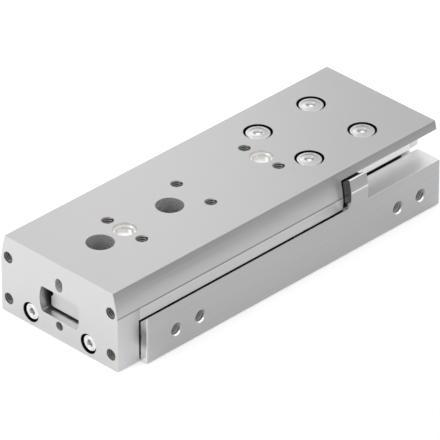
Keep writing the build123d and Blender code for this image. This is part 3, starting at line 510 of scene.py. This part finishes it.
# %% The table's holes
# Radii of the holes, and the depth of the countersink at a thread's mouth, in mm
m3_core, centring_radius, access_radius, dowel_radius = 1.25, 2.5, 3.0, 1.0
table_screw_seat, rod_screw_seat, slot_radius = 3.15, 2.25, 1.0
countersink, slot_heights = 0.12, (12.8, 13.35, 13.9)
up, ahead = Vector((0, 0, 1)), Vector((1, 0, 0))
table_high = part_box("slide_table")[1]
thread_mounts = ["table_threads", "table_middle_threads", "yoke_threads"]
table_holes = (
    holes_of(thread_mounts, m3_core, countersink, tapped)
    + holes_of(["table_centring_holes"], centring_radius, 0, bored)
    + holes_of(["front_access_hole", "rear_access_hole"], access_radius, 0, reamed)
    + holes_of(["yoke_dowel_hole"], dowel_radius, 0, ported)
    + [(Vector((table_high.x, 0, z * mm)), ahead, slot_radius * mm, 0, reamed)
       for z in slot_heights]
    # The screws' counterbore walls are painted black as shade.
    + [(Vector((middle.x, middle.y, table_high.z)), up, table_screw_seat * mm, 0, shaded)
       for middle in middles_of("table_screws")]
    + [(Vector((table_high.x, middle.y, middle.z)), ahead, rod_screw_seat * mm, 0, shaded)
       for middle in middles_of("rod_screws")])
print("holes in the table:", len(table_holes))

# %% The table's faces
flank_foot_y, flank_foot, flank_inside = 17.05 * mm, 12.7 * mm, 15.5 * mm
yoke_rear, line_reach, wing_above = 41.4 * mm, 0.2 * mm, 16 * mm
foot_inside, foot_top, sole_inside, sole_top = 12 * mm, 10.1 * mm, 12.6 * mm, 10.2 * mm
window_side, window_top, face_skin = 6 * mm, 11.2 * mm, 0.1 * mm
# The share of a face's normal that has to point out, down, ahead or along for a face to count
out_share, side_share, down_share, ahead_share, end_share = 0.8, 0.97, 0.9, 0.6, 0.5
table_body = machined_copy("slide_table", "table_body", "table", (flank_foot_y, flank_foot),
                           cut_x=yoke_rear - 0.3 * mm)


def table_finish(centre, normal):
    """Drawn flanks; walls and yoke painted light; crease and feet painted shade; else blasted."""
    aside, in_yoke = abs(centre.y), centre.x >= yoke_rear
    outside = abs(normal.y) > out_share and aside > flank_inside
    # A dark line of painted shade in the crease between flank and wall.
    if outside and abs(centre.z - flank_foot) < line_reach and abs(normal.x) < end_share:
        return crease_shade
    # The walls' feet and undersides are painted black as shade.
    in_foot = abs(normal.y) < side_share and aside > foot_inside and centre.z < foot_top
    in_sole = normal.z < -down_share and aside > sole_inside and centre.z < sole_top
    if (in_foot or in_sole) and not in_yoke:
        return shaded
    # The walls and the yoke's sides take their lighter copies, painted light.
    if outside and centre.z < flank_foot:
        return yoke_painted_light if in_yoke else walls_painted_light
    if normal.z < -down_share and centre.z > wing_above:
        return walls_painted_light
    behind_face = yoke_rear < centre.x < table_high.x - face_skin
    if behind_face and aside < window_side and centre.z < window_top:
        return window_shade
    # The yoke's front face takes the lighter copy, painted light.
    if normal.x > ahead_share and in_yoke:
        return yoke_painted_light
    return drawn if outside else blasted


paint(table_body, table_holes, table_finish)

# %% [markdown]
# ## The housing
#
# The housing's two stops stand up from its side walls, and the table's walls end against them.
# Their faces are rough, and they and their crests are painted dark as shade. Behind them the
# pockets are planed bright, and the lip beside the table's walls has a finer gloss. The deck
# between is painted darker as shade, a painted highlight runs along each shoulder, and the front
# end carries painted light and shade. Where a port meets its passage, and at the stops' feet, the
# edges are left sharp.

# %% The housing's holes
port_mounts = ["front_air_port", "rear_air_port"]
port_places = [place for name in port_mounts for place in hole_places(name)]
port_mouth_out, base_chamfer = 0.345 * mm, 0.3
housing_holes = (
    holes_of(["base_threads"], m3_core, base_chamfer, tapped)
    + holes_of(["side_threads"], m3_core, base_chamfer, ported)
    + [(mouth + Vector(axis) * port_mouth_out, axis, m3_core * mm, base_chamfer * mm, ported)
       for mouth, axis in port_places])
print("holes in the housing:", len(housing_holes))

# %% The housing's faces
stop_front, stop_foot_y, stop_foot_z = -18.6, 17.2, 9.5
shoulder_y, shoulder_z, shoulder_reach = 19.15 * mm, 14.5 * mm, 0.18 * mm
stop_face_above, crest_above, crest_sides = 11.5 * mm, 15 * mm, (14 * mm, 18.15 * mm)
deck_side, pocket_front = 12 * mm, -18 * mm
port_depth, passage_reach, foot_reach = 5 * mm, 1.6 * mm, 2.2 * mm
stop_share, milled_share, up_share = 0.7, 0.75, 0.5
passages = [(mouth - axis * port_depth, passage_reach) for mouth, axis in port_places]
stop_feet = [(Vector((stop_front, way * stop_foot_y, stop_foot_z)) * mm, foot_reach)
             for way in (1, -1)]
housing_body = machined_copy("housing", "housing_body", "housing", (shoulder_y, shoulder_z),
                             passages + stop_feet)


def housing_finish(centre, normal):
    """Milled ends, painted shade on the stops, planed in the pockets, brushed along the sides."""
    aside = abs(centre.y)
    # A painted highlight along each shoulder's bevel.
    if (math.hypot(aside - shoulder_y, centre.z - shoulder_z) < shoulder_reach
            and abs(normal.x) < end_share):
        return painted_glint
    # The stops' faces and crests are painted dark as shade.
    if normal.x > stop_share and centre.z > stop_face_above:
        return sawn_shade
    if centre.z > crest_above and crest_sides[0] < aside < crest_sides[1]:
        return crest_shade
    # The front end carries painted light and painted shade.
    if abs(normal.x) > milled_share:
        return front_lit_and_shaded if normal.x > 0 else milled
    if normal.z > up_share:
        # The deck under the carriage is painted darker as shade.
        if aside < deck_side:
            return deck_shade
        return planed if centre.x < pocket_front else lapped
    return brushed


paint(housing_body, housing_holes, housing_finish)

# %% [markdown]
# ## Screws with real heads
#
# The CAD screws are plain heads with a plain hexagon. The real ones have a rounded rim, a shallow
# dish and a six-lobed socket. Each head starts as two loops of vertices, and the loops are bridged
# into the flat face. Every further ring is pulled out of the last one, moved and scaled. That
# keeps the faces in clean rings, which light runs round evenly.


# %% Pull rings out of a loop of edges
def pull(bm, edges, scale, drop):
    """Extrude a loop, scale it about the axis and lower it by drop; return the new loop."""
    made = bmesh.ops.extrude_edge_only(bm, edges=edges)["geom"]
    verts = [item for item in made if isinstance(item, bmesh.types.BMVert)]
    bmesh.ops.scale(bm, vec=(scale, scale, 1), verts=verts)
    bmesh.ops.translate(bm, vec=(0, 0, -drop), verts=verts)
    return [item for item in made if isinstance(item, bmesh.types.BMEdge)
            and all(vert in verts for vert in item.verts)]


def ring(bm, radius, segments=48):
    """Add one open circle of edges about the Z axis, at height zero."""
    verts = bmesh.ops.create_circle(bm, cap_ends=False, radius=radius, segments=segments)["verts"]
    return [edge for edge in bm.edges if all(vert in verts for vert in edge.verts)]


# %% [markdown]
# The socket's mouth is a circle whose radius rises and falls six times on the way round. A cosine
# does that well enough at this size, and it leaves the corners as round as a worn key makes them.

# %% One screw, standing on the Z axis with the top of its head at zero
groove_in, groove_foot, groove_out, groove_depth = 0.97, 0.95, 0.96, 0.05 * mm
flat_in, dish, dish_drop, lobe, draft = 0.90, 1.3, 0.3, 0.06, 0.94
spot, rim_share, tip, tip_length = 0.62, 0.10, 0.75, 0.25
rim_steps = 3


def socket_of(bm, mouth, socket_radius, socket_depth, dark_floor):
    """Shape a socket's six-lobed mouth and sink its walls; return the floor's edges."""
    for vert in {vert for edge in mouth for vert in edge.verts}:
        turn = math.atan2(vert.co.y, vert.co.x)
        vert.co.xy = vert.co.xy.normalized() * socket_radius * (1 + lobe * math.cos(6 * turn))
    floor = pull(bm, mouth, draft, socket_depth)
    return floor if dark_floor else pull(bm, floor, spot, 0)


def screw_mesh(head_radius, head_height, socket_radius, socket_depth, shank_radius, length,
               dark_floor):
    """Model a screw and return its bmesh."""
    bm = bmesh.new()
    rim_round = rim_share * head_radius
    flat = head_radius - rim_round
    rim = ring(bm, flat)
    inner = ring(bm, flat_in * flat)
    bmesh.ops.bridge_loops(bm, edges=rim + inner)
    groove = pull(bm, pull(bm, inner, groove_in, groove_depth), groove_foot, 0)
    face = pull(bm, groove, groove_out, -groove_depth)
    face_radius = flat_in * flat * groove_in * groove_foot * groove_out
    shoulder = pull(bm, face, socket_radius * dish / face_radius, 0)
    outside = set(bm.faces)
    mouth = pull(bm, shoulder, 1 / dish, dish_drop * socket_radius)
    floor = socket_of(bm, mouth, socket_radius, socket_depth, dark_floor)
    # Painted shade on the dish and socket walls; a painted highlight on a bright floor's disc.
    for face in set(bm.faces) - outside:
        face.material_index = 1
    for face in bmesh.ops.contextual_create(bm, geom=floor)["faces"]:
        face.material_index = 1 if dark_floor else 2
    side = rim
    for step in range(rim_steps):
        was, now = (math.pi / 2 * turn / rim_steps for turn in (step, step + 1))
        growth = (flat + rim_round * math.sin(now)) / (flat + rim_round * math.sin(was))
        side = pull(bm, side, growth, rim_round * (math.cos(was) - math.cos(now)))
    point = tip_length * shank_radius
    for scale, drop in ((1, head_height - rim_round), (shank_radius / head_radius, 0),
                        (1, length - head_height - point), (tip, point)):
        side = pull(bm, side, scale, drop)
    bmesh.ops.contextual_create(bm, geom=side)
    bmesh.ops.recalc_face_normals(bm, faces=bm.faces)
    return bm


# %% Stand a mesh on a place, and join small meshes into one piece
def stood(bm, place, axis):
    """Turn a mesh's Z axis to an axis and move its origin to a place."""
    turn = axis.to_track_quat("Z", "Y").to_matrix().to_4x4()
    bmesh.ops.transform(bm, matrix=Matrix.Translation(place) @ turn, verts=bm.verts)
    return bm


def joined(piece_name, body, finishes, parts, crease):
    """Turn a list of bmeshes into one smooth shaded piece that rides on a body."""
    whole = bmesh.new()
    for bm in parts:
        part = bpy.data.meshes.new("part")
        bm.to_mesh(part)
        whole.from_mesh(part)
        bpy.data.meshes.remove(part)
        bm.free()
    for face in whole.faces:
        face.smooth = True
    mesh = bpy.data.meshes.new(piece_name)
    whole.to_mesh(mesh)
    print(piece_name, "parts:", len(parts), "faces:", len(whole.faces))
    whole.free()
    mesh.set_sharp_from_angle(angle=math.radians(crease))
    for finish in finishes:
        mesh.materials.append(finish)
    piece = bpy.data.objects.new(piece_name, mesh)
    bpy.context.scene.collection.objects.link(piece)
    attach(piece, body)
    return piece


# %% Put a detailed screw wherever a node has a solid
def detailed_screws(node_name, piece_name, body, axis_of, finish, dark_floor, *sizes):
    """Replace a node of screws; axis_of gives the way that a screw's head faces at its middle."""
    parts = []
    for low, high in solids_of(node_name):
        middle, reach = (low + high) / 2, (high - low) / 2
        axis = Vector(axis_of(middle))
        along = abs(axis.dot(reach))
        bm = screw_mesh(*(size * mm for size in sizes), length=2 * along, dark_floor=dark_floor)
        parts.append(stood(bm, middle + axis * along, axis))
    piece = joined(piece_name, body, (finish, socket_painted_shade, painted_glint), parts, 35)
    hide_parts(node_name)


# The sizes are the head's radius and height, the socket's radius and depth, and the shank's radius
carriage_low, carriage_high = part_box("guide_carriage")
carriage_middle = (carriage_low + carriage_high) / 2
detailed_screws("table_screws", "table_screw_set", "table", lambda at: up, satin_shaded, False,
                2.75, 2.0, 0.80, 0.12, 1.5)
detailed_screws("rod_screws", "rod_screw_set", "table", lambda at: ahead, bright, False,
                1.85, 1.6, 0.66, 0.5, 1.0)
detailed_screws("rail_screws", "rail_screw_set", "housing", lambda at: up, bright, True,
                2.75, 2.9, 0.80, 1.0, 1.5)
detailed_screws("end_cap_screws", "end_cap_screw_set", "table",
                lambda at: ahead if at.x > carriage_middle.x else -ahead, bright, True,
                1.3, 0.9, 0.5, 0.5, 0.8)

# %% [markdown]
# ## Threads that show in their holes
#
# The CAD holes are plain cylinders at the thread's core diameter. The eye still looks for the
# lines of the thread, so each hole gets a helical ridge. It starts as one small triangle beside
# the hole's axis, and spin sweeps it round while it climbs by the pitch on each turn. Because the
# triangle has a face, the swept ridge is closed at both ends.

# %% One helical ridge
pitch, ridge, ridge_root, steps_per_turn = 0.5 * mm, 0.13 * mm, 0.02 * mm, 20


def thread_mesh(radius, start, depth):
    """Model a ridge inside a hole whose mouth is at z = 0 and which runs down the Z axis."""
    bm = bmesh.new()
    outer = radius + ridge_root
    corners = [bm.verts.new((r, 0, -start - z))
               for r, z in ((outer, 0), (radius - ridge, 0.3 * pitch), (outer, 0.8 * pitch))]
    face = bm.faces.new(corners)
    steps = round(((depth - start) / pitch - 1) * steps_per_turn)
    bmesh.ops.spin(bm, geom=[face, *face.edges, *face.verts], cent=(0, 0, 0), axis=(0, 0, 1),
                   dvec=(0, 0, -pitch / steps_per_turn),
                   angle=2 * math.pi * steps / steps_per_turn,
                   steps=steps, use_merge=False, use_duplicate=False)
    bmesh.ops.recalc_face_normals(bm, faces=bm.faces)
    return bm


# %% The ridges of each body
def show_threads(piece_name, body, finish, mount_names, start, depth):
    """Add a ridge to every hole of the named mounts."""
    parts = [stood(thread_mesh(m3_core * mm, start * mm, depth * mm), mouth, axis)
             for name in mount_names for mouth, axis in hole_places(name)]
    joined(piece_name, body, (finish,), parts, 30)


# The last two numbers are the ridge's start and the thread's depth below the mouth, in mm
show_threads("table_thread_set", "table", tapped, thread_mounts, 0.16, 3.1)
show_threads("base_thread_set", "housing", tapped, ["base_threads"], 0.38, 3.3)
show_threads("side_thread_set", "housing", ported, ["side_threads"], 0.38, 3.3)
show_threads("port_thread_set", "housing", ported, port_mounts, 0.04, 3.3)

# %% [markdown]
# ## The floor
#
# The slide stands on a plain white floor in a bright, even studio. The camera sees the floor as
# white through an added glow, but the matt shader under it keeps a soft shadow. Metal shows what
# it mirrors, so the floor also glows to mirror rays: fully in front of the yoke, and by a seventh
# of that further back, where the photograph's slide mirrors a darker floor. The floor lies a hair
# below the slide and is clear from below. It also lets through mirror rays that have just left the
# base, so that the base can be looked at too.

# %% The floor's mesh
floor_drop = 0.02 * mm
floor_mesh = bpy.data.meshes.new("studio_floor")
bm = bmesh.new()
bmesh.ops.create_grid(bm, x_segments=1, y_segments=1, size=0.5)
bmesh.ops.scale(bm, vec=(0.34, 0.22, 1), verts=bm.verts)
bmesh.ops.translate(bm, vec=(0.01, -0.045, -floor_drop), verts=bm.verts)
bm.to_mesh(floor_mesh)
bm.free()
floor = bpy.data.objects.new("studio_floor", floor_mesh)
bpy.context.scene.collection.objects.link(floor)
print("floor:", [round(size, 3) for size in floor.dimensions])

# %% The floor's material
floor_glow, base_reach = 0.28, 0.05 * mm
floor_paint = bpy.data.materials.new("white_floor")
floor_paint.use_nodes = True
tree = floor_paint.node_tree
tree.nodes.clear()
output = tree.nodes.new("ShaderNodeOutputMaterial")
path = tree.nodes.new("ShaderNodeLightPath")
place = tree.nodes.new("ShaderNodeTexCoord")
along = tree.nodes.new("ShaderNodeSeparateXYZ")
shiny, shown, open_side = (add_node(tree, "ShaderNodeMath", operation="MAXIMUM") for _ in range(3))
mirrored, leaving = (add_node(tree, "ShaderNodeMath", operation="MULTIPLY") for _ in range(2))
near = add_node(tree, "ShaderNodeMath", {1: base_reach}, operation="LESS_THAN")
front = add_node(tree, "ShaderNodeMapRange", {"From Min": 0.03, "From Max": 0.05, "To Min": 0.15},
                 interpolation_type="SMOOTHSTEP")
matt = add_node(tree, "ShaderNodeBsdfDiffuse", {"Color": (0.88, 0.88, 0.88, 1)})
glow = add_node(tree, "ShaderNodeEmission", {"Color": (1, 1, 1, 1), "Strength": floor_glow})
lit = tree.nodes.new("ShaderNodeAddShader")
seen, one_sided = (tree.nodes.new("ShaderNodeMixShader") for _ in range(2))
surface = tree.nodes.new("ShaderNodeNewGeometry")
clear = tree.nodes.new("ShaderNodeBsdfTransparent")
wire(tree,
     (path, "Is Glossy Ray", shiny, 0), (path, "Is Transmission Ray", shiny, 1),
     (place, "Object", along, "Vector"), (along, "X", front, "Value"),
     (shiny, "Value", mirrored, 0), (front, "Result", mirrored, 1),
     (path, "Is Camera Ray", shown, 0), (mirrored, "Value", shown, 1),
     (matt, "BSDF", lit, 0), (glow, "Emission", lit, 1),
     (shown, "Value", seen, 0), (matt, "BSDF", seen, 1), (lit, "Shader", seen, 2),
     (path, "Ray Length", near, 0), (near, "Value", leaving, 0),
     (path, "Is Glossy Ray", leaving, 1),
     (surface, "Backfacing", open_side, 0), (leaving, "Value", open_side, 1),
     (open_side, "Value", one_sided, 0), (seen, "Shader", one_sided, 1),
     (clear, "BSDF", one_sided, 2), (one_sided, "Shader", output, "Surface"))
floor_mesh.materials.append(floor_paint)
print("floor's nodes:", len(tree.nodes))

# %% [markdown]
# ## The world
#
# Metal has no colour of its own to speak of: it shows the room. So the room is what gives each
# face its tone. The world is a bright tent overhead, a little brighter over the side with the
# ports. Along the horizon it is brightest ahead on the far side, and dims towards the rear of the
# side with the ports. The camera's own rays see plain white.

# %% The world's nodes
world = bpy.data.worlds.new("studio")
bpy.context.scene.world = world
world.use_nodes = True
tree = world.node_tree
tree.nodes.clear()
output = tree.nodes.new("ShaderNodeOutputWorld")
direction = tree.nodes.new("ShaderNodeTexCoord")
split = tree.nodes.new("ShaderNodeSeparateXYZ")
height = add_node(tree, "ShaderNodeMapRange", {"From Min": 0.0, "From Max": 0.5},
                  interpolation_type="SMOOTHSTEP")
towards = add_node(tree, "ShaderNodeVectorMath", {1: (0.707, -0.707, 0)}, operation="DOT_PRODUCT")
horizon = add_node(tree, "ShaderNodeMapRange",
                   {"From Min": -0.7, "From Max": 0.7, "To Min": 0.36, "To Max": 0.85},
                   interpolation_type="SMOOTHSTEP")
overhead = add_node(tree, "ShaderNodeMapRange",
                    {"From Min": -0.6, "From Max": 0.6, "To Min": 0.85, "To Max": 1.20},
                    interpolation_type="SMOOTHSTEP")
level = add_node(tree, "ShaderNodeMix", data_type="FLOAT")
room = add_node(tree, "ShaderNodeBackground", {"Color": (1, 1, 1, 1)})
white = add_node(tree, "ShaderNodeBackground", {"Color": (1, 1, 1, 1), "Strength": 1.0})
path = tree.nodes.new("ShaderNodeLightPath")
seen = tree.nodes.new("ShaderNodeMixShader")
wire(tree,
     (direction, "Generated", split, "Vector"), (direction, "Generated", towards, 0),
     (split, "Z", height, "Value"), (towards, "Value", horizon, "Value"),
     (height, "Result", level, "Factor"), (horizon, "Result", level, "A"),
     (split, "Y", overhead, "Value"), (overhead, "Result", level, "B"),
     (level, "Result", room, "Strength"), (path, "Is Camera Ray", seen, 0),
     (room, "Background", seen, 1), (white, "Background", seen, 2),
     (seen, "Shader", output, "Surface"))
print("world's nodes:", len(tree.nodes))

# %% [markdown]
# ## The lamps
#
# The tent alone leaves the metal flat. One large soft lamp stands high over the front end, and
# one small weak lamp at the rear of the far side is aimed at the yoke's end of the top.


# %% Two soft lamps
def soft_lamp(name, place, aim, size, power):
    """Add a square area lamp that faces its aim."""
    lamp = bpy.data.lights.new(name, "AREA")
    lamp.shape, lamp.size, lamp.energy = "SQUARE", size, power
    holder = bpy.data.objects.new(name, lamp)
    bpy.context.scene.collection.objects.link(holder)
    holder.location = place
    holder.rotation_euler = (Vector(aim) - Vector(place)).to_track_quat("-Z", "Y").to_euler()
    print(name, "watts:", power)


soft_lamp("front_lamp", (0.34, -0.20, 0.36), (0.05, -0.02, 0), 0.30, 0.5)
soft_lamp("far_lamp", (-0.103, -0.15, 0.15), (0.045, 0, 0.018), 0.10, 0.026)

# %% [markdown]
# ## The camera
#
# The photograph was taken from far away with a long lens, which keeps the long edges nearly
# parallel. The camera's turn, height and distance below were solved from the slide's own edges
# and hole patterns. It is aimed along its own axis rather than at the slide, so the slide sits in
# the frame where the photograph has it.

# %% Place the camera
camera_turn, camera_height, camera_roll = (
    math.radians(angle) for angle in (44.84, 32.11, -0.11))
camera_distance, shift_right, shift_up = 1267.9 * mm, 32.80 * mm, 24.68 * mm
yoke_face_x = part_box("slide_table")[1].x
back = Vector((math.cos(camera_height) * math.cos(camera_turn),
               math.cos(camera_height) * math.sin(camera_turn), math.sin(camera_height)))
level_right = Vector((-math.sin(camera_turn), math.cos(camera_turn), 0))
level_up = back.cross(level_right)
image_right = level_right * math.cos(camera_roll) + level_up * math.sin(camera_roll)
image_up = level_up * math.cos(camera_roll) - level_right * math.sin(camera_roll)
camera_place = (Vector((yoke_face_x, 0, 0)) + back * camera_distance + image_right * shift_right
                + image_up * shift_up)
lens = bpy.data.cameras.new("photo_camera")
lens.lens, lens.sensor_width = 507.3, 36.0
lens.clip_start, lens.clip_end = 0.05, 20.0
camera = bpy.data.objects.new("photo_camera", lens)
bpy.context.scene.collection.objects.link(camera)
facing = Matrix((image_right, image_up, back)).transposed().to_4x4()
camera.matrix_world = Matrix.Translation(camera_place) @ facing
bpy.context.scene.camera = camera
bpy.context.scene.view_settings.view_transform = "Standard"
print("camera at", [round(v, 4) for v in camera_place])
